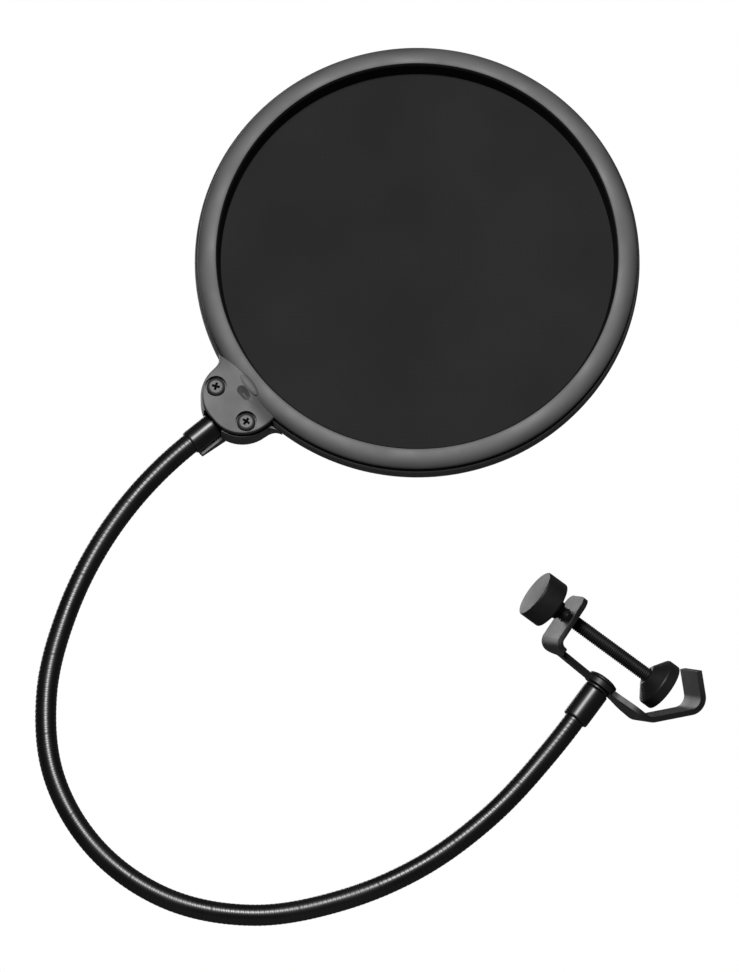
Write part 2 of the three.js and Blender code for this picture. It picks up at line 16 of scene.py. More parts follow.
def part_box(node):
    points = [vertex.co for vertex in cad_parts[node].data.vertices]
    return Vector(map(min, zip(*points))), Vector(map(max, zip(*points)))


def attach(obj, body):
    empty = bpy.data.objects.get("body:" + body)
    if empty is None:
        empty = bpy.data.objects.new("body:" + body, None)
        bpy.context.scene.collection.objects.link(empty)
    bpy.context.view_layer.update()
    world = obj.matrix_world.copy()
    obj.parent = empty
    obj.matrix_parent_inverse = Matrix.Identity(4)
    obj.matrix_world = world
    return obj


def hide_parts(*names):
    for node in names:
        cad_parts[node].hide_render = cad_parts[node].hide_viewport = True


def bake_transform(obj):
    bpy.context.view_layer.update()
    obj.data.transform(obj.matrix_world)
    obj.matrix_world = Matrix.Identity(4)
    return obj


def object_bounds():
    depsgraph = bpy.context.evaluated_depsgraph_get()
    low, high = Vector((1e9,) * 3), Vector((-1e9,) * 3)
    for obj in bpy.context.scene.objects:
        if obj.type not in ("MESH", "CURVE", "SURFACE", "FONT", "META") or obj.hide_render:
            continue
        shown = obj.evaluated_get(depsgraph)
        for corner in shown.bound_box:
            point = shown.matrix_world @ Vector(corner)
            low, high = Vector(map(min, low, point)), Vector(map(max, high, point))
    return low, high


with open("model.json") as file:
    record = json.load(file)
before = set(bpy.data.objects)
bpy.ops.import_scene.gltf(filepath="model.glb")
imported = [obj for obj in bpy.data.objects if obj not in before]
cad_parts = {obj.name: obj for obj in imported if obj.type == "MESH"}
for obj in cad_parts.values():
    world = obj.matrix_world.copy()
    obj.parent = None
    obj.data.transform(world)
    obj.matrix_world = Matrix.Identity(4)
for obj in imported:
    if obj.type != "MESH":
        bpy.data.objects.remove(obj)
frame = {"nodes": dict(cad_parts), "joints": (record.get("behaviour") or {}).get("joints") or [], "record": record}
cad_low, cad_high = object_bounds()

MM = 0.001
SMOOTH_ANGLE = math.radians(35)

# Hoop, in millimetres. Depths run backwards from the hoop's middle.
HOOP_INNER = 69.9
HOOP_OUTER = 77.5
LIP_FRONT = -7.75
LIP_RADIUS = 70.8  # where the front ring's face is highest
FACE_OUTER = 76.5
FACE_EDGE = -4.6  # depth of the front ring's widest edge
SEAM = -3.6
SEAM_GAP = 0.3
SEAM_FLOOR = 75.6  # radius of the groove between the two rings
HOOP_BACK = 7.75
MESH_SEAT = 72.3
MESH_STEP = 4.7
MESH_RADIUS = 72.0
MESH_THICKNESS = 0.4
# inner radius of the near-black band of painted shade in the front ring's bore
SHADE_BAND_INNER = 68.4

# Tab on the hoop
EAR_CENTRE = 80.0
EAR_ALONG = 13.0
EAR_ACROSS = 14.2
EAR_ROOT = 73.4  # its inner edge, which lies on the ring's face
EAR_TIP = (75.4, 17.3)  # where each side runs out on the hoop
EAR_INSET = 0.6  # the front plate is this much smaller than the rear one
EAR_FRONT = -7.95
EAR_SEAM = -5.0
EAR_BACK = 4.5
EAR_SLOPE = 3.4
# Loops from the ear's seam to its middle: share of the outline, and depth below the face.
EAR_EDGE = (
    (0.93, None),
    (1.0, 1.9),
    (1.0, 0.6),
    (0.985, 0.2),
    (0.955, 0.0),
    (0.8, 0.0),
    (0.6, 0.0),
    (0.4, 0.0),
    (0.2, 0.0),
)
LOWER_FLARE_DROP = 8.5  # how far the rear ear's face lies back at the tip of its lower side
HOLLOW_CENTRE = 78.1
HOLLOW_DEPTH = 2.3
CRESCENT_RADIUS = 75.0
CRESCENT_WIDTH = 4.2
CRESCENT_HEIGHT = 2.9
CRESCENT_START = -2.4  # degrees about the hoop's middle
CRESCENT_SWEEP = 8.2
TAB_SCREW_RADIUS = 1.3
TAB_SCREW_HEAD = 3.2
TAB_PILOT = 1.6
SCREW_DISTANCE = 84.1
SCREW_SPREAD = 8.25
COUNTERBORE_RADIUS = 3.7
COUNTERBORE_FLOOR = -5.9
CROSS_ARM = 1.5
CROSS_HALF_WIDTH = 0.45
CHANNEL_START = 79.4
CHANNEL_END = 96.0
CHANNEL_HALF = 4.7
TROUGH_START = 78.8
TROUGH_END = 101.5
TROUGH_FRONT = 2.8
TROUGH_BACK = 6.7
TROUGH_HALF = 6.9  # half its width at the start
TROUGH_TAPER = 1.9  # how much of that is gone at the end
TROUGH_SHIFT = 0.6  # it stands this far to the lower side of the neck
TROUGH_BORE = 4.6
NECK_DEPTH = 1.0

# Gooseneck
COIL_PITCH = 1.7
COIL_RADII = (3.65, 3.69, 3.71, 3.73, 3.71, 3.69)  # round wire, groove first
COIL_SIDES = 28
NECK_SOCKET = 4.5
FERRULE_LENGTH = 14.0
UPPER_FERRULE_RADIUS = 4.4
LOWER_FERRULE_RADIUS = 4.75
UPPER_FERRULE_START = 89.5
UPPER_FERRULE_END = 102.5
BEND_REACH = 12.0  # distance either side of each joint at which the neck's centre is found; those points are not used

# Clamp, in its own frame: X through the back, Y along the screw, Z across the strip
SCREW_X = 13.5
PLATE_Y = 23.6
PLATE_END = 21.6
BACK_LEAN = 3.0
STRIP = 2.0
STRIP_WIDTH = 18.0
JAW_START_Y = -19.5
JAW_CORNER_X = 14.5
JAW_LIP = 13.7
STEM_WIDTH = 5.4
EYE_RADIUS = 6.0
PLATE_CORNER = 4.0
THREAD_PITCH = 0.8
THREAD_RADII = (2.12, 2.3, 2.5, 2.3)  # valley, flank, crest, flank
THREAD_SIDES = 24
KNOB_RADIUS = 8.75
KNOB_BASE = 27.1
KNOB_TOP = 38.2
KNOB_HUB = 3.2
SCREW_HOLE = 2.6
PAD_RADIUS = 8.75
PAD_TOP = -12.0
PAD_FACE = -20.3
PAD_RECESS = 7.1
LINER_RADIUS = 6.8
NECK_SCREW_RADIUS = 2.5
NECK_SCREW_HEAD = 5.5
NECK_SCREW_SOCKET = 1.75
WASHER_BORE = 2.8
WASHER_RADIUS = 4.5
WASHER_SPLIT = 0.2  # how far each end is sprung from the middle

# Looks: reflectances are linear, light powers in watts, and lengths below are in metres
WEAVE_SCALE = 700.0  # a thread every 0.45 mm
MESH_DARK = 0.004
MESH_LIGHT = 0.012
FLOOR_DROP = 3.4
FRONT_GLOW = 0.03
BACK_GLOW = 0.12
KEY_POWER = 66.0
KEY_SIZE = 0.7
KEY_OFFSET = Vector((-0.1, -2.2, 0.5))  # from the object's middle
REAR_POWER = 6.0
REAR_SIZE = 0.9
REAR_OFFSET = Vector((-0.54, 1.23, 0.66))
LOOK_UP = math.radians(16.3)
CAMERA_DISTANCE = 11.0
FRAME_HEIGHT = 0.3384
SIDE_SHIFT = 0.0166
DOWN_SHIFT = 0.0780


# Frames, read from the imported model


def middle(node):
    low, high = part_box(node)
    return (low + high) / 2


def local_frame(x_axis, y_axis, z_axis, origin):
    """A matrix from millimetres in a local frame to metres in the row frame."""
    turn = Matrix((x_axis, y_axis, z_axis)).transposed()
    return Matrix.Translation(origin) @ (turn * MM).to_4x4()


joints = {joint["name"]: joint for joint in frame["joints"]}
back_axis = Vector((0, 1, 0))

hoop_centre = middle("front_mesh")
hoop_centre.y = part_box("front_mesh")[0].y
hoop_frame = local_frame(Vector((1, 0, 0)), Vector((0, 0, -1)), back_axis, hoop_centre)

screw_centres = [middle("tab_screw_upper"), middle("tab_screw_lower")]
tab_across = (screw_centres[0] - screw_centres[1]).normalized()
tab_along = tab_across.cross(back_axis).normalized()
tab_frame = local_frame(tab_along, tab_across, back_axis, hoop_centre)

turn_joint = joints["clamp_screw_turn"]
screw_axis = Vector(turn_joint["axis"]).normalized()
jaw_seat = next(mount for mount in frame["record"]["mounts"] if mount["name"] == "jaw_seat")
jaw_normal = Vector(jaw_seat["axis"]).normalized()
throat_axis = (screw_axis - math.sqrt(2) * jaw_normal).normalized()
groove_axis = throat_axis.cross(screw_axis).normalized()
clamp_origin = Vector(turn_joint["pos_m"]) - (throat_axis * SCREW_X + screw_axis * PLATE_Y) * MM
clamp_frame = local_frame(throat_axis, screw_axis, groove_axis, clamp_origin)

# A turned shape runs along its frame's Z.
screw_frame = clamp_frame @ Matrix.Translation((SCREW_X, 0, 0)) @ Matrix.Rotation(-math.pi / 2, 4, "X")
neck_end_frame = clamp_frame @ Matrix.Rotation(math.radians(-BACK_LEAN), 4, "Z")
neck_end_frame = neck_end_frame @ Matrix.Rotation(math.pi / 2, 4, "Y")
tab_end_frame = local_frame(back_axis, tab_across, tab_along, hoop_centre + back_axis * NECK_DEPTH * MM)


# Outlines and solids, in millimetres


def arc(x, y, radius, start, end, steps=12):
    angles = [math.radians(start + (end - start) * i / steps) for i in range(steps + 1)]
    return [(x + radius * math.cos(a), y + radius * math.sin(a)) for a in angles]


def fade(value, start, end):
    """0 up to start, 1 past end, and even between. End may be the smaller."""
    return min(1.0, max(0.0, (value - start) / (end - start)))


def bezier(a, b, c, d, steps=10):
    points = []
    for i in range(1, steps):
        t = i / steps
        s = 1 - t
        weights = (s**3, 3 * s * s * t, 3 * s * t * t, t**3)
        points.append(tuple(sum(w * p[k] for w, p in zip(weights, (a, b, c, d))) for k in (0, 1)))
    return points


def rounded(points, radius, closed=True, steps=4):
    """The same outline with a small curve in place of each corner."""
    result = []
    for i, point in enumerate(points):
        if not closed and i in (0, len(points) - 1):
            result.append(point)
            continue
        corner = Vector(point)
        before = Vector(points[i - 1]) - corner
        after = Vector(points[(i + 1) % len(points)]) - corner
        size = min(radius, 0.45 * before.length, 0.45 * after.length)
        start = corner + before.normalized() * size
        end = corner + after.normalized() * size
        for step in range(steps + 1):
            t = step / steps
            curve = start * (1 - t) ** 2 + corner * 2 * t * (1 - t) + end * t * t
            result.append(tuple(curve))
    return result


def loft(loops, capped=True, around=False):
    """A skin over loops of 3-D points that all have the same count."""
    shape = bmesh.new()
    rows = [[shape.verts.new(point) for point in loop] for loop in loops]
    pairs = list(zip(rows, rows[1:]))
    if around:
        pairs.append((rows[-1], rows[0]))
    for low, high in pairs:
        for i in range(len(low)):
            j = (i + 1) % len(low)
            shape.faces.new((low[i], low[j], high[j], high[i]))
    if capped and not around:
        shape.faces.new(rows[0])
        shape.faces.new(rows[-1])
    return tidied(shape)


def tidied(shape):
    bmesh.ops.remove_doubles(shape, verts=shape.verts, dist=0.002)
    bmesh.ops.dissolve_degenerate(shape, edges=shape.edges, dist=0.002)
    bmesh.ops.recalc_face_normals(shape, faces=shape.faces)
    return shape


def revolved(profile, segments=96):
    """Turns a closed outline of (radius, height) about the frame's Z."""
    loops = []
    for segment in range(segments):
        angle = 2 * math.pi * segment / segments
        loops.append([(r * math.cos(angle), r * math.sin(angle), h) for r, h in profile])
    return loft(loops, around=True)


def prism(outline, low, high):
    return loft([[(x, y, z) for x, y in outline] for z in (low, high)])


def combined(shape, other, operation):
    """The boolean of two shapes. It uses up both."""
    holders = []
    for part in (shape, other):
        mesh = bpy.data.meshes.new("part")
        part.to_mesh(mesh)
        part.free()
        holder = bpy.data.objects.new("part", mesh)
        bpy.context.scene.collection.objects.link(holder)
        holders.append(holder)
    modifier = holders[0].modifiers.new("cut", "BOOLEAN")
    modifier.operation = operation
    modifier.solver = "EXACT"
    modifier.object = holders[1]
    evaluated = holders[0].evaluated_get(bpy.context.evaluated_depsgraph_get())
    result = bmesh.new()
    result.from_mesh(evaluated.to_mesh())
    for holder in holders:
        bpy.data.objects.remove(holder)
    return tidied(result)


def bevelled(shape, width, segments=3, angle=40):
    limit = math.radians(angle)
    flat = math.radians(1)
    bmesh.ops.dissolve_limit(shape, angle_limit=flat, verts=shape.verts, edges=shape.edges)
    sharp = [e for e in shape.edges if e.is_manifold and e.calc_face_angle(0) > limit]
    bmesh.ops.bevel(
        shape, geom=sharp, offset=width, segments=segments, affect="EDGES", profile=0.5,
        clamp_overlap=True,
    )
    return shape


def joined(*shapes):
    mesh = bpy.data.meshes.new("joined")
    result = bmesh.new()
    for shape in shapes:
        shape.to_mesh(mesh)
        shape.free()
        result.from_mesh(mesh)
    bpy.data.meshes.remove(mesh)
    return result


def make_piece(name, shape, place, material, body, nodes):
    """A shape in millimetres becomes a piece that rides on a body and stands for CAD nodes."""
    shape.transform(place)
    mesh = bpy.data.meshes.new(name)
    shape.to_mesh(mesh)
    shape.free()
    mesh.shade_smooth()
    mesh.set_sharp_from_angle(angle=SMOOTH_ANGLE)
    mesh.materials.append(material)
    piece = bpy.data.objects.new(name, mesh)
    bpy.context.scene.collection.objects.link(piece)
    piece.modifiers.new("normals", "WEIGHTED_NORMAL").keep_sharp = True
    if nodes:
        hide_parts(*nodes)
    if body:
        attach(piece, body)
    return piece


# Materials


def node(tree, kind, inputs, **settings):
    made = tree.nodes.new("ShaderNode" + kind)
    for key, value in settings.items():
        setattr(made, key, value)
    for key, value in inputs.items():
        if isinstance(value, bpy.types.NodeSocket):
            tree.links.new(value, made.inputs[key])
        else:
            made.inputs[key].default_value = value
    return made


def grey(value):
    return (value, value, value, 1)


def ramp(tree, factor, low, high, low_at=0.35, high_at=0.65):
    made = node(tree, "ValToRGB", {"Fac": factor})
    made.color_ramp.elements[0].position = low_at
    made.color_ramp.elements[0].color = grey(low)
    made.color_ramp.elements[1].position = high_at
    made.color_ramp.elements[1].color = grey(high)
    return made.outputs["Color"]


def new_material(name, roughness, metallic, specular):
    material = bpy.data.materials.new(name)
    material.use_nodes = True
    shader = material.node_tree.nodes["Principled BSDF"]
    shader.inputs["Roughness"].default_value = roughness
    shader.inputs["Metallic"].default_value = metallic
    shader.inputs["Specular IOR Level"].default_value = specular
    return material, material.node_tree, shader


def grained(name, low, high, roughness, grain, relief, metallic=0.0, specular=0.5, wear=0.0):
    """A moulded or painted surface. grain is in repeats per metre, and relief in metres."""
    material, tree, shader = new_material(name, roughness, metallic, specular)
    place = node(tree, "TexCoord", {}).outputs["Object"]
    clouds = node(tree, "TexNoise", {"Vector": place, "Scale": 60.0, "Detail": 3.0}).outputs["Fac"]
    colour = ramp(tree, clouds, low, high)
    if wear:
        edge = node(tree, "NewGeometry", {}).outputs["Pointiness"]
        bare = ramp(tree, edge, 0.0, wear, 0.53, 0.6)
        colour = node(tree, "VectorMath", {0: colour, 1: bare}, operation="ADD").outputs["Vector"]
    tree.links.new(colour, shader.inputs["Base Color"])
    shine = node(
        tree, "MapRange",
        {"Value": clouds, "From Min": 0.3, "From Max": 0.7, "To Min": roughness * 0.9,
         "To Max": roughness * 1.12},
    ).outputs["Result"]
    tree.links.new(shine, shader.inputs["Roughness"])
    fine = node(tree, "TexNoise", {"Vector": place, "Scale": grain, "Detail": 4.0}).outputs["Fac"]
    bump = node(tree, "Bump", {"Height": fine, "Strength": 0.6, "Distance": relief})
    tree.links.new(bump.outputs["Normal"], shader.inputs["Normal"])
    return material


def woven(name):
    """Black nylon mesh: threads that cross at right angles, with a dark gap in each square."""
    material, tree, shader = new_material(name, 0.85, 0.0, 0.25)
    place = node(tree, "TexCoord", {}).outputs["Object"]
    bands = []
    for direction in ("X", "Z"):
        wave = node(
            tree, "TexWave", {"Vector": place, "Scale": WEAVE_SCALE, "Distortion": 0.15},
            wave_type="BANDS", bands_direction=direction,
        )
        bands.append(wave.outputs["Fac"])
    thread = node(tree, "Math", {0: bands[0], 1: bands[1]}, operation="MAXIMUM").outputs[0]
    clouds = node(tree, "TexNoise", {"Vector": place, "Scale": 25.0, "Detail": 2.0}).outputs["Fac"]
    tone = node(tree, "Math", {0: thread, 1: clouds}, operation="MULTIPLY").outputs[0]
    tree.links.new(ramp(tree, tone, MESH_DARK, MESH_LIGHT, 0.1, 0.6), shader.inputs["Base Color"])
    shader.inputs["Sheen Weight"].default_value = 0.15
    shader.inputs["Sheen Roughness"].default_value = 0.5
    bump = node(tree, "Bump", {"Height": thread, "Strength": 0.5, "Distance": 0.00008})
    tree.links.new(bump.outputs["Normal"], shader.inputs["Normal"])
    return material


hoop_plastic = grained("hoop_plastic", 0.043, 0.052, 0.66, 2600.0, 0.00003, specular=1.0)
black_plastic = grained("black_plastic", 0.005, 0.008, 0.46, 2200.0, 0.00003, specular=0.3)
neck_steel = grained("neck_steel", 0.003, 0.005, 0.33, 3000.0, 0.00001, 0.1)
bracket_paint = grained("bracket_paint", 0.004, 0.007, 0.45, 900.0, 0.00002, wear=0.03, specular=0.3)
thread_steel = grained("thread_steel", 0.006, 0.010, 0.4, 1800.0, 0.00002, 0.3, wear=0.02)
screw_steel = grained("screw_steel", 0.035, 0.055, 0.5, 2500.0, 0.00002, 0.6)
pad_rubber = grained("pad_rubber", 0.014, 0.022, 0.8, 1500.0, 0.00006, specular=0.3)
# painted shade: near-black cloth for the band in the front ring's bore, standing in for the shade on its inner
# wall
painted_shade_black = grained("painted_shade_black", 0.002, 0.004, 0.9, 1800.0, 0.00005, specular=0.1)
mesh_fabric = woven("mesh_fabric")


# Hoop and tab


def ear_outline(inset=0.0, round_side=False):
    """A round ear, a little longer across the tab, whose two sides flare out into the hoop.

    With round_side, its lower side stays round instead.
    """
    spread = EAR_ACROSS - EAR_ALONG
    size = EAR_ALONG - inset
    side = size + spread
    ends = arc(EAR_CENTRE, -spread, size, -125 if round_side else -80, 0, 20)
    outline = ends + arc(EAR_CENTRE, spread, size, 0, 80, 15)
    start = (EAR_CENTRE + 1, side)
    tip = (EAR_TIP[0], EAR_TIP[1] - inset)
    flare = bezier(start, (EAR_CENTRE - 2.5, side), (76.2, side + 1.2), tip)
    flare.append(tip)
    root = bezier(tip, (74.2, 13), (EAR_ROOT, 7), (EAR_ROOT, 0), 8)
    outline += [*flare, *root, (EAR_ROOT, 0)]
    if round_side:
        return outline + bezier((EAR_ROOT, 0), (EAR_ROOT, -4), (EAR_ROOT - 0.3, -8), ends[0], 8)
    return outline + [(u, -v) for u, v in reversed(flare + root)]


def bore(radius, across, low, high):
    return prism(arc(SCREW_DISTANCE, across, radius, 0, 350, 35), low, high)


def ear_depth(u, v):
    """The ear's face slopes back at its two tips, and on the lower side of its inner edge."""
    inward = fade(u, EAR_CENTRE + 1.5, EAR_CENTRE - 5.5)
    below = fade(v, 1, -7)
    tip = fade(v, 9.5, 17.5) * inward
    return EAR_FRONT + EAR_SLOPE * max(inward * inward * below, 0.8 * tip)


def slot(half_length, radius, depth):
    """A round-ended loop across the ear, at the place of its hollow."""
    outline = arc(HOLLOW_CENTRE, half_length, radius, 0, 180, 10)
    outline += arc(HOLLOW_CENTRE, -half_length, radius, 180, 360, 10)
    return [(u, v, depth) for u, v in outline]


def front_ear():
    outline = ear_outline(EAR_INSET, round_side=True)
    loops = []
    for shrink, drop in EAR_EDGE:
        loop = []
        for u, v in outline:
            inner_u = EAR_CENTRE + (u - EAR_CENTRE) * shrink
            inner_v = v * shrink
            depth = EAR_SEAM if drop is None else ear_depth(inner_u, inner_v) + drop
            loop.append((inner_u, inner_v, depth))
        loops.append(loop)
    ear = loft(loops)
    for side in (-1, 1):
        counterbore = bore(COUNTERBORE_RADIUS, side * SCREW_SPREAD, EAR_FRONT - 1, COUNTERBORE_FLOOR)
        ear = combined(ear, counterbore, "DIFFERENCE")
    mouth = slot(1.5, 2.0, EAR_FRONT - 0.4)
    floor = slot(0.8, 0.1, EAR_FRONT + HOLLOW_DEPTH)
    ear = combined(ear, loft([mouth, floor]), "DIFFERENCE")
    return bevelled(ear, 0.3, 3, 30)


def ear_crescent():
    """A raised lip where the ear's inner edge lies on the ring's face."""
    loops = []
    steps = 24
    for i in range(steps + 1):
        angle = math.radians(CRESCENT_START + CRESCENT_SWEEP * i / steps)
        swell = math.sin(math.pi * (0.03 + 0.94 * i / steps)) ** 0.5
        loop = []
        for k in range(16):
            turn = 2 * math.pi * k / 16
            radius = CRESCENT_RADIUS + CRESCENT_WIDTH / 2 * swell * math.cos(turn)
            depth = EAR_FRONT + 1.05 + CRESCENT_HEIGHT / 2 * swell * math.sin(turn)
            loop.append((radius * math.cos(angle), radius * math.sin(angle), depth))
        loops.append(loop)
    return loft(loops)


def front_ring():
    back = SEAM - SEAM_GAP / 2
    crown = []
    for i in range(13):
        angle = math.radians(7.5 * i)
        radius = LIP_RADIUS + (FACE_OUTER - LIP_RADIUS) * math.sin(angle)
        depth = FACE_EDGE - (FACE_EDGE - LIP_FRONT) * math.cos(angle)
        crown.append((radius, depth))
    rear = [
        (SEAM_FLOOR, back),
        (MESH_SEAT - SEAM_GAP, back),
        (MESH_SEAT - SEAM_GAP, -SEAM_GAP),
        (HOOP_INNER, -SEAM_GAP),
    ]
    lip = [(HOOP_INNER, LIP_FRONT + 0.7), (HOOP_INNER + 0.25, LIP_FRONT + 0.2)]
    return revolved(crown + rear + lip, 240)


def rear_ring():
    front = SEAM + SEAM_GAP / 2
    outline = rounded(
        [
            (SEAM_FLOOR, front),
            (SEAM_FLOOR + 0.2, front + 2),
            (HOOP_OUTER - 0.7, front + 2),
            (HOOP_OUTER - 0.6, front + 0.1),
            (HOOP_OUTER - 0.1, front + 1.6),
            (HOOP_OUTER, 1.4),
            (HOOP_OUTER - 0.4, 4.2),
            (HOOP_OUTER - 1.8, 6.4),
            (HOOP_OUTER - 4.5, HOOP_BACK),
            (HOOP_INNER, HOOP_BACK),
            (HOOP_INNER, MESH_STEP),
            (MESH_SEAT, MESH_STEP),
            (MESH_SEAT, front),
        ],
        1.2,
    )
    return revolved(outline, 240)


def rear_ear():
    """The rear half of the tab. Its face slopes back where its lower side flares into the hoop."""
    front = EAR_SEAM + SEAM_GAP / 2
    outline = ear_outline()
    face = []
    for u, v in outline:
        lower_flare = fade(v, -11.5, -17.5) * fade(u, EAR_CENTRE, EAR_CENTRE - 4)
        face.append((u, v, front + LOWER_FLARE_DROP * lower_flare))
    ear = loft([face, [(u, v, EAR_BACK) for u, v in outline]])
    for side in (-1, 1):
        pilot = bore(TAB_PILOT, side * SCREW_SPREAD, EAR_SEAM - 1, 3)
        ear = combined(ear, pilot, "DIFFERENCE")
    channel = [
        (CHANNEL_START, -CHANNEL_HALF),
        (CHANNEL_END, -CHANNEL_HALF),
        (CHANNEL_END, CHANNEL_HALF),
        (CHANNEL_START, CHANNEL_HALF),
    ]
    ear = combined(ear, prism(channel, EAR_SEAM - 1, NECK_DEPTH + CHANNEL_HALF), "DIFFERENCE")
    return bevelled(ear, 0.4)


def trough():
    """A tapered trough that carries the ferrule past the ear. Its sides spread towards the back."""
    loops = []
    inside = arc(0, NECK_DEPTH, TROUGH_BORE, 157, 23, 16)
    for share in (0, 0.25, 0.5, 0.75, 1):
        along = TROUGH_START + (TROUGH_END - TROUGH_START) * share
        half = TROUGH_HALF - TROUGH_TAPER * share
        back = TROUGH_BACK - 0.4 * share
        side = [(4.9, TROUGH_FRONT), (half, back - 1.5), (half - 0.4, back - 0.4), (half - 1.4, back)]
        outside = side + [(-v, y) for v, y in reversed(side)]
        loop = [(along, v - TROUGH_SHIFT, y) for v, y in outside]
        loops.append(loop + [(along, v, y) for v, y in inside])
    return bevelled(loft(loops), 0.3, 2, 60)


def cross_recess(low, high):
    """A cross whose arms taper to 0.6 of their size from low to high."""
    a = CROSS_ARM
    w = CROSS_HALF_WIDTH
    outline = [(w, w), (w, a), (-w, a), (-w, w), (-a, w), (-a, -w)]
    outline += [(-w, -w), (-w, -a), (w, -a), (w, -w), (a, -w), (a, w)]
    return loft([[(x, y, low) for x, y in outline], [(x * 0.6, y * 0.6, high) for x, y in outline]])


def tab_screw():
    outline = [
        (0, -7.7),
        (TAB_SCREW_HEAD - 0.8, -7.6),
        (TAB_SCREW_HEAD - 0.05, -7.1),
        (TAB_SCREW_HEAD, -6.2),
        (TAB_SCREW_RADIUS, -6.2),
        (TAB_SCREW_RADIUS, 1.7),
        (0, 2.7),
    ]
    screw = revolved(rounded(outline, 0.4, closed=False), 48)
    return bevelled(combined(screw, cross_recess(-8.0, -5.9), "DIFFERENCE"), 0.07, 2)


def mesh_disc(front):
    """A thin disc in fine rings, a little slack between its edge and its middle."""
    steps = 36
    radii = [MESH_RADIUS * math.sin(0.5 * math.pi * i / steps) for i in range(steps + 1)]

    def slack(radius):
        return 0.12 * math.sin(math.pi * (radius / MESH_RADIUS) ** 2)

    top = [(r, front - slack(r)) for r in radii]
    bottom = [(r, front + MESH_THICKNESS - slack(r)) for r in reversed(radii)]
    return revolved(top + bottom, 180)


def painted_shade_band():
    """A near-black band of painted shade that lines the front ring's bore, dark in place of the shade on its inner
    wall.
    """
    outline = [
        (HOOP_INNER - 0.1, LIP_FRONT + 1.1), (HOOP_INNER - 0.4, LIP_FRONT + 1.3), (SHADE_BAND_INNER, -0.5),
        (SHADE_BAND_INNER, -0.05), (HOOP_INNER - 0.1, -0.05),
    ]
    return revolved(rounded(outline, 0.3), 240)


def build_head():
    # the band of painted shade inside the front ring's bore
    make_piece(
        "painted_shade_band", painted_shade_band(), hoop_frame, painted_shade_black, "filter_head", [],
    )
    ring = joined(front_ring())
    ring.transform(hoop_frame)
    ear = joined(front_ear(), ear_crescent())
    ear.transform(tab_frame)
    whole = joined(ring, ear)
    make_piece(
        "hoop_front", whole, Matrix(), hoop_plastic, "filter_head", ["front_ring"],
    )
    ring = joined(rear_ring())
    ring.transform(hoop_frame)
    ear = joined(rear_ear(), trough())
    ear.transform(tab_frame)
    whole = joined(ring, ear)
    make_piece(
        "hoop_rear", whole, Matrix(), hoop_plastic, "filter_head", ["rear_ring"],
    )
    for name in ("front_mesh", "rear_mesh"):
        depth = (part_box(name)[0].y - hoop_centre.y) / MM
        make_piece(
            "woven_" + name, mesh_disc(depth), hoop_frame, mesh_fabric,
            "filter_head", [name],
        )
    for name, side in (("tab_screw_upper", 1), ("tab_screw_lower", -1)):
        turn = Matrix.Rotation(math.radians(20 + 35 * side), 4, "Z")
        place = tab_frame @ Matrix.Translation((SCREW_DISTANCE, side * SCREW_SPREAD, 0)) @ turn
        make_piece(
            "cross_" + name, tab_screw(), place, screw_steel, "filter_head", [name],
        )


# Gooseneck


def ferrule(radius, low, high, mouth):
    outline = [
        (mouth, low), (radius - 0.15, low), (radius, low + 0.6), (radius, high - 0.6),
        (radius - 0.15, high), (mouth, high),
    ]
    return revolved(rounded(outline, 0.4), 72)


def centre_line():
    """Distance, point and direction along the neck, with each joint's distance."""
    names = sorted(name for name in joints if name.startswith("neck_bend"))
    points = [middle("upper_ferrule") + tab_along * 6.5 * MM]
    points += [Vector(joints[name]["pos_m"]) for name in names]
    end_axis = (neck_end_frame.to_3x3() @ Vector((0, 0, 1))).normalized()
    points.append(clamp_origin - end_axis * FERRULE_LENGTH * MM)
    directions = [tab_along]
    for before, here, after in zip(points, points[1:], points[2:]):
        back = here - before
        ahead = after - here
        blend = back.normalized() * ahead.length + ahead.normalized() * back.length
        directions.append(blend.normalized())
    directions.append(end_axis)
    samples = [points[0] - tab_along * 0.02]
    marks = []
    steps = 40
    for i in range(len(points) - 1):
        span = (points[i + 1] - points[i]).length
        marks.append(len(samples))
        for k in range(steps):
            t = k / steps
            samples.append(
                points[i] * (2 * t**3 - 3 * t**2 + 1)
                + directions[i] * span * (t**3 - 2 * t**2 + t)
                + points[i + 1] * (3 * t**2 - 2 * t**3)
                + directions[i + 1] * span * (t**3 - t**2)
            )
    marks.append(len(samples))
    samples += [points[-1], points[-1] + end_axis * 0.02]
    line = np.array(samples)
    gaps = np.linalg.norm(np.diff(line, axis=0), axis=1)
    distance = np.concatenate([[0], np.cumsum(gaps)])
    distance -= distance[marks[0]]
    tangent = np.gradient(line, distance, axis=0)
    tangent /= np.linalg.norm(tangent, axis=1)[:, None]
    return distance, line, tangent, [distance[m] for m in marks], names


def neck_surface():
    """A function from distance, angle and radius in metres to points on the neck."""
    distance, line, tangent, marks, names = centre_line()

    def surface(along, angle, radius):
        centre = np.stack([np.interp(along, distance, line[:, k]) for k in range(3)], 1)
        ahead = np.stack([np.interp(along, distance, tangent[:, k]) for k in range(3)], 1)
        ahead /= np.linalg.norm(ahead, axis=1)[:, None]
        side = np.cross(ahead, np.array(back_axis))
        side /= np.linalg.norm(side, axis=1)[:, None]
        other = np.cross(ahead, side)
        return centre + radius[:, None] * (np.cos(angle)[:, None] * side + np.sin(angle)[:, None] * other)

    return surface, marks, names


def straight_surface(place):
    """The same kind of function for a straight axis along a frame's Z."""
    matrix = np.array(place)

    def surface(along, angle, radius):
        local = np.stack([radius * np.cos(angle), radius * np.sin(angle), along, along * 0 + MM], 1) / MM
        return (local @ matrix.T)[:, :3]

    return surface


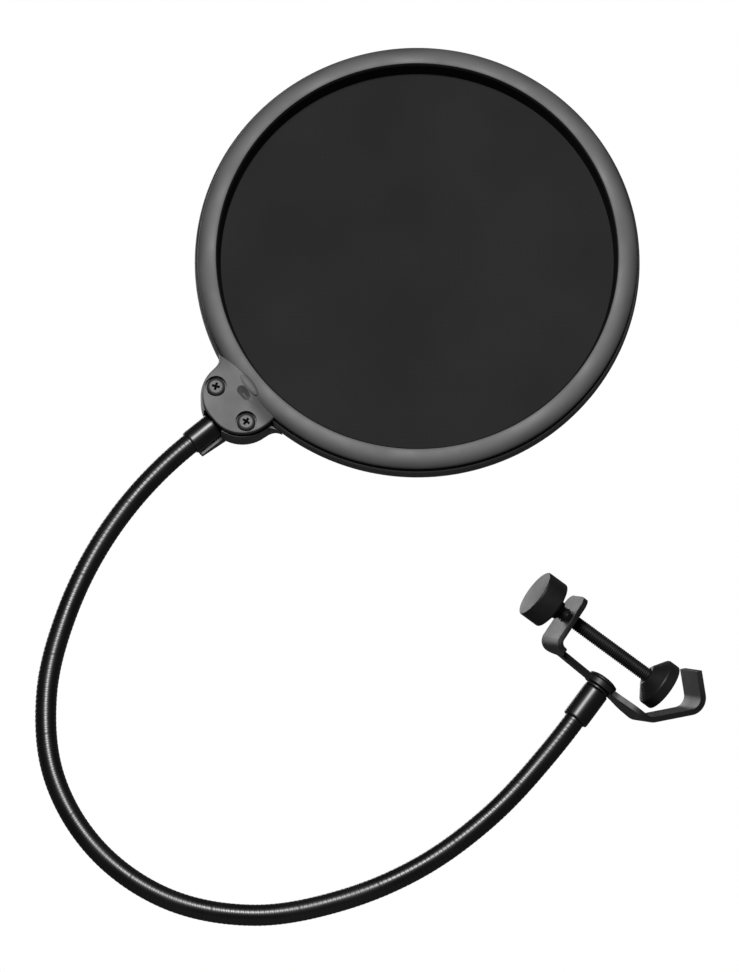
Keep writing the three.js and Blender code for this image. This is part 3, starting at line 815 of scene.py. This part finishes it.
def helix(surface, radii, pitch, first, last, sides):
    """A wound skin from row first to row last. Its rows climb by one pitch in each turn."""
    rows = np.arange(first, last + len(radii) + 1)
    row, side = [a.ravel() for a in np.meshgrid(rows, np.arange(sides), indexing="ij")]
    along = (row / len(radii) + side / sides) * pitch
    radius = np.array(radii)[row % len(radii)]
    points = surface(along * MM, side * 2 * math.pi / sides, radius * MM)
    shape = bmesh.new()
    verts = [shape.verts.new(point) for point in points]

    def vert(i, k):
        if k == sides:
            return verts[(i + len(radii) - first) * sides]
        return verts[(i - first) * sides + k]

    for i in range(first, last):
        for k in range(sides):
            shape.faces.new((vert(i, k), vert(i, k + 1), vert(i + 1, k + 1), vert(i + 1, k)))
    loose = [v for v in shape.verts if not v.link_faces]
    bmesh.ops.delete(shape, geom=loose, context="VERTS")
    return shape


def build_neck():
    surface, marks, names = neck_surface()
    turn_rows = len(COIL_RADII)

    def row_at(distance):
        return round(distance / MM / COIL_PITCH) * turn_rows

    middles = [(a + b) / 2 for a, b in zip(marks[1:-1], marks[2:-1])]
    cuts = [marks[0] - NECK_SOCKET * MM, *middles, marks[-1] + NECK_SOCKET * MM]
    for number, name in enumerate(names, 1):
        first = row_at(cuts[number - 1])
        last = row_at(cuts[number])
        shape = helix(surface, COIL_RADII, COIL_PITCH, first, last, COIL_SIDES)
        nodes = [f"neck_segment_{number:02d}"]
        if number == len(names):
            nodes.append(f"neck_segment_{number + 1:02d}")
        piece = make_piece(
            f"wound_tube_{number:02d}", shape, Matrix(), neck_steel, None, nodes,
        )
        bend = np.array([marks[number] - BEND_REACH * MM, marks[number] + BEND_REACH * MM])
        start, end = surface(bend, bend * 0, bend * 0)
        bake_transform(piece)
    upper = ferrule(UPPER_FERRULE_RADIUS, UPPER_FERRULE_START, UPPER_FERRULE_END, 3.5)
    make_piece(
        "upper_sleeve", upper, tab_end_frame, neck_steel, "filter_head",
        ["upper_ferrule"],
    )
    lower = ferrule(LOWER_FERRULE_RADIUS, -FERRULE_LENGTH, -1.4, 2.8)
    make_piece(
        "lower_sleeve", lower, neck_end_frame, neck_steel, "clamp", ["lower_ferrule"],
    )


# Clamp


def bent_strip(corners, radii, steps=12):
    """The outline of the strip along a bent line, with an arc at each corner."""
    left = []
    right = []
    for i, corner in enumerate(corners):
        here = Vector(corner)
        before = (here - Vector(corners[i - 1])).normalized() if i else None
        after = (Vector(corners[i + 1]) - here).normalized() if i + 1 < len(corners) else None
        ahead = after if before is None else before
        normal = Vector((-ahead.y, ahead.x))
        if before is None or after is None:
            left.append(here + normal * STRIP / 2)
            right.append(here - normal * STRIP / 2)
            continue
        turn = math.atan2(before.x * after.y - before.y * after.x, before.dot(after))
        side = math.copysign(1, turn)
        start = here - before * radii[i] * math.tan(abs(turn) / 2)
        centre = start + normal * side * radii[i]
        for step in range(steps + 1):
            spoke = Matrix.Rotation(turn * step / steps, 2) @ (normal * -side)
            left.append(centre + spoke * (radii[i] - side * STRIP / 2))
            right.append(centre + spoke * (radii[i] + side * STRIP / 2))
    return [tuple(p) for p in left + right[::-1]]


def back_outline(bottom):
    """The strip's width along the screw's direction: plate, stem, round eye and jaw."""
    half = STRIP_WIDTH / 2
    stem = STEM_WIDTH / 2
    eye = arc(0, 0, EYE_RADIUS, 63, -43, 16)
    side = [(half, PLATE_Y + 3), (half, 20.6)]
    side += bezier((half, 20.6), (half, 19.4), (5.5, 18.7), (stem, 18.1))
    side += [(stem, 18.1), (stem, 5.4)]
    side += eye
    side += bezier(eye[-1], (5.2, -9), (half, -10.5), (half, -16.5))
    side += [(half, -16.5), (half, bottom)]
    return side + [(-z, y) for z, y in reversed(side)]


def plate_corner(side):
    """A cutter that rounds one corner of the screw plate."""
    half = STRIP_WIDTH / 2
    start = PLATE_END - PLATE_CORNER
    edge = arc(start, half - PLATE_CORNER, PLATE_CORNER, 90, 0, 12)
    outline = [(PLATE_END + 1, half + 1), (start, half + 1), *edge]
    outline.append((PLATE_END + 1, half - PLATE_CORNER))
    return prism([(x, z * side) for x, z in outline], -PLATE_Y - 3, 3 - PLATE_Y)


def bracket():
    lean = math.tan(math.radians(BACK_LEAN))
    jaw_x = STRIP / 2 + JAW_START_Y * lean
    corner = (JAW_CORNER_X, JAW_START_Y - (JAW_CORNER_X - jaw_x))
    reach = JAW_LIP / math.sqrt(2)
    line = [
        (PLATE_END, PLATE_Y),
        (STRIP / 2 + PLATE_Y * lean, PLATE_Y),
        (jaw_x, JAW_START_Y),
        corner,
        (corner[0] + reach, corner[1] + reach),
    ]
    half = STRIP_WIDTH / 2
    strip = prism(bent_strip(line, [0, 3, 4, 5, 0]), -half, half)
    across = prism(back_outline(corner[1] - 6), -6, 30)
    across.transform(Matrix(((0, 0, 1, 0), (0, 1, 0, 0), (-1, 0, 0, 0), (0, 0, 0, 1))))
    strip = combined(strip, across, "INTERSECT")
    flat = Matrix(((1, 0, 0, 0), (0, 0, -1, 0), (0, 1, 0, 0), (0, 0, 0, 1)))
    hole = prism(arc(SCREW_X, 0, SCREW_HOLE, 0, 350, 35), -PLATE_Y - 3, 3 - PLATE_Y)
    for cutter in (plate_corner(1), plate_corner(-1), hole):
        cutter.transform(flat)
        strip = combined(strip, cutter, "DIFFERENCE")
    return bevelled(strip, 0.35)


def knob():
    outline = [
        (0, KNOB_TOP),
        (KNOB_RADIUS, KNOB_TOP),
        (KNOB_RADIUS, KNOB_BASE + 3.4),
        (KNOB_HUB + 0.3, KNOB_BASE + 1.3),
        (KNOB_HUB, KNOB_BASE),
        (SCREW_HOLE, KNOB_BASE),
        (SCREW_HOLE, KNOB_TOP - 2.2),
        (0, KNOB_TOP - 2.2),
    ]
    return revolved(rounded(outline, 0.6, closed=False), 96)


def swivel_pad():
    rim = PAD_FACE + 0.4
    recess = PAD_FACE + 2.3
    outline = [
        (0, recess),
        (PAD_RECESS, recess),
        (PAD_RECESS, rim),
        (PAD_RADIUS, rim),
        (PAD_RADIUS, rim + 4),
        (3.6, PAD_TOP),
        (SCREW_HOLE, PAD_TOP),
        (SCREW_HOLE, PAD_TOP - 3.9),
        (0, PAD_TOP - 3.9),
    ]
    return revolved(rounded(outline, 0.5, closed=False), 96)


def pad_liner():
    back = PAD_FACE + 2
    outline = [(0, PAD_FACE), (LINER_RADIUS, PAD_FACE), (LINER_RADIUS, back), (0, back)]
    return revolved(rounded(outline, 0.6, closed=False), 72)


def neck_screw():
    base = STRIP + 0.3
    outline = [
        (0, -8),
        (NECK_SCREW_RADIUS, -8),
        (NECK_SCREW_RADIUS, base),
        (NECK_SCREW_HEAD, base),
        (NECK_SCREW_HEAD, base + 0.8),
        (3.6, base + 1.55),
        (0, base + 1.7),
    ]
    head = revolved(rounded(outline, 0.5, closed=False), 60)
    socket = prism(arc(0, 0, NECK_SCREW_SOCKET, 0, 300, 5), base + 0.5, base + 3)
    return bevelled(combined(head, socket, "DIFFERENCE"), 0.12, 2)


def spring_washer():
    """A flat ring split at one place, with its two ends sprung apart."""
    loops = []
    section = [(WASHER_BORE, -1.05), (WASHER_RADIUS, -1.05), (WASHER_RADIUS, -0.35), (WASHER_BORE, -0.35)]
    for degrees in range(5, 356, 5):
        angle = math.radians(degrees)
        lift = WASHER_SPLIT * (degrees - 180) / 180
        loops.append([(r * math.cos(angle), r * math.sin(angle), h + lift) for r, h in section])
    return bevelled(loft(loops), 0.1, 2)


def build_clamp():
    make_piece(
        "bent_bracket", bracket(), clamp_frame, bracket_paint, "clamp",
        ["clamp_bracket"],
    )
    make_piece(
        "neck_bolt", neck_screw(), neck_end_frame, bracket_paint, "clamp",
        ["neck_screw"],
    )
    make_piece(
        "split_washer", spring_washer(), neck_end_frame, thread_steel, "clamp",
        ["spring_washer"],
    )
    rows = len(THREAD_RADII)
    first = round(-15 / THREAD_PITCH) * rows
    last = round(35 / THREAD_PITCH) * rows
    thread = helix(
        straight_surface(screw_frame), THREAD_RADII, THREAD_PITCH, first, last, THREAD_SIDES,
    )
    make_piece(
        "threaded_rod", thread, Matrix(), thread_steel, "clamp_screw", ["clamp_screw"],
    )
    make_piece("turned_knob", knob(), screw_frame, black_plastic, "clamp_screw", ["knob"])
    make_piece(
        "pad_cup", swivel_pad(), screw_frame, black_plastic, "swivel_pad",
        ["swivel_pad"],
    )
    make_piece(
        "pad_disc", pad_liner(), screw_frame, pad_rubber, "swivel_pad", ["pad_liner"],
    )


def finish_cad_nodes():
    """The two hidden CAD nodes that stay get softened edges and their own materials."""
    for name, material in (("mesh_spacer", black_plastic), ("neck_anchor", screw_steel)):
        cad = frame["nodes"][name]
        softened = cad.modifiers.new("edges", "BEVEL")
        softened.width = 0.0003
        softened.segments = 2
        cad.data.materials.clear()
        cad.data.materials.append(material)


# Stage


def add_light(name, place, target, size, power):
    data = bpy.data.lights.new(name, "AREA")
    data.shape = "DISK"
    data.size = size
    data.energy = power
    light = bpy.data.objects.new(name, data)
    light.location = place
    light.rotation_euler = (target - place).to_track_quat("-Z", "Y").to_euler()
    bpy.context.scene.collection.objects.link(light)


def build_stage():
    centre = (cad_low + cad_high) / 2
    bpy.ops.mesh.primitive_grid_add(size=40, x_subdivisions=4, y_subdivisions=4)
    floor = bpy.context.object
    floor.name = "floor"
    floor.location = (centre.x, centre.y, centre.z - FLOOR_DROP)
    floor.data.materials.append(grained("floor_paper", 0.78, 0.80, 0.9, 300.0, 0.0002))
    world = bpy.data.worlds.new("studio")
    bpy.context.scene.world = world
    world.use_nodes = True
    tree = world.node_tree
    background = tree.nodes["Background"]
    direction = node(tree, "SeparateXYZ", {"Vector": node(tree, "TexCoord", {}).outputs["Generated"]})
    glow = node(
        tree, "MapRange",
        {"Value": direction.outputs["Y"], "From Min": -0.2, "From Max": 0.5, "To Min": FRONT_GLOW,
         "To Max": BACK_GLOW},
    ).outputs["Result"]
    seen = node(tree, "LightPath", {}).outputs["Is Camera Ray"]
    strength = node(tree, "Math", {0: glow, 1: seen}, operation="MAXIMUM").outputs[0]
    tree.links.new(strength, background.inputs["Strength"])
    background.inputs["Color"].default_value = grey(1.0)
    add_light("key", centre + KEY_OFFSET, centre, KEY_SIZE, KEY_POWER)
    add_light("rear", centre + REAR_OFFSET, centre, REAR_SIZE, REAR_POWER)
    bpy.context.scene.view_settings.view_transform = "Standard"


def build_camera():
    """A long lens in front of the hoop and below it, looking up."""
    look = Vector((0, math.cos(LOOK_UP), math.sin(LOOK_UP)))
    up = Vector((0, -math.sin(LOOK_UP), math.cos(LOOK_UP)))
    target = hoop_centre - Vector((1, 0, 0)) * SIDE_SHIFT - up * DOWN_SHIFT
    data = bpy.data.cameras.new("camera")
    data.sensor_width = 36
    data.lens = 36 * CAMERA_DISTANCE / FRAME_HEIGHT
    data.clip_end = 100
    camera = bpy.data.objects.new("camera", data)
    camera.location = target - look * CAMERA_DISTANCE
    camera.rotation_euler = look.to_track_quat("-Z", "Y").to_euler()
    bpy.context.scene.collection.objects.link(camera)
    bpy.context.scene.camera = camera


build_head()
build_neck()
build_clamp()
finish_cad_nodes()
build_stage()
build_camera()
